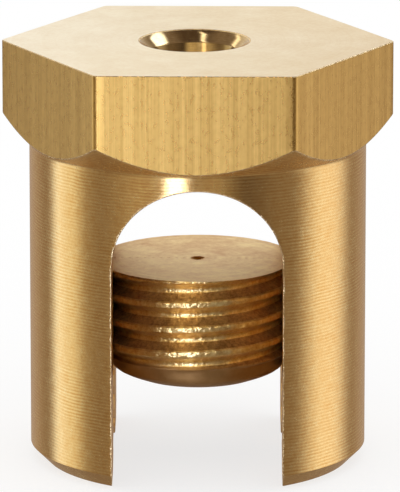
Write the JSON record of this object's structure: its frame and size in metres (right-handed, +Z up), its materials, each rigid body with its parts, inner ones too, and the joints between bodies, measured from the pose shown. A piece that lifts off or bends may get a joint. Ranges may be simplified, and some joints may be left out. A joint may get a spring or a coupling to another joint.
{
  "type": "grounding screw",
  "caption": "Brass slotted clamp screw: hexagon-headed cap with a U-slotted, bored skirt for a conductor and a threaded clamping plug that rises inside it.",
  "frame": {"origin": "on the skirt's axis, in the plane of the leg ends that the part stands on", "axes": "+Z up along the axis through the hexagon head; the conductor slot runs along Y; two corners of the hexagon lie on X"},
  "size_m": [0.031, 0.027, 0.0337],
  "materials": {
    "turned_brass": "bright turned and drawn brass with fine tool lines",
    "threaded_brass": "thread-cut brass with a dull turned end"
  },
  "bodies": {
    "cap": {"slotted_cap": "turned_brass"},
    "screw": {"clamping_screw": "threaded_brass"}
  },
  "joints": [
    {"name": "screw_travel", "type": "slide", "parent": "cap", "child": "screw", "axis": [0, 0, 1], "range_m": [-0.006, 0.008]}
  ]
}
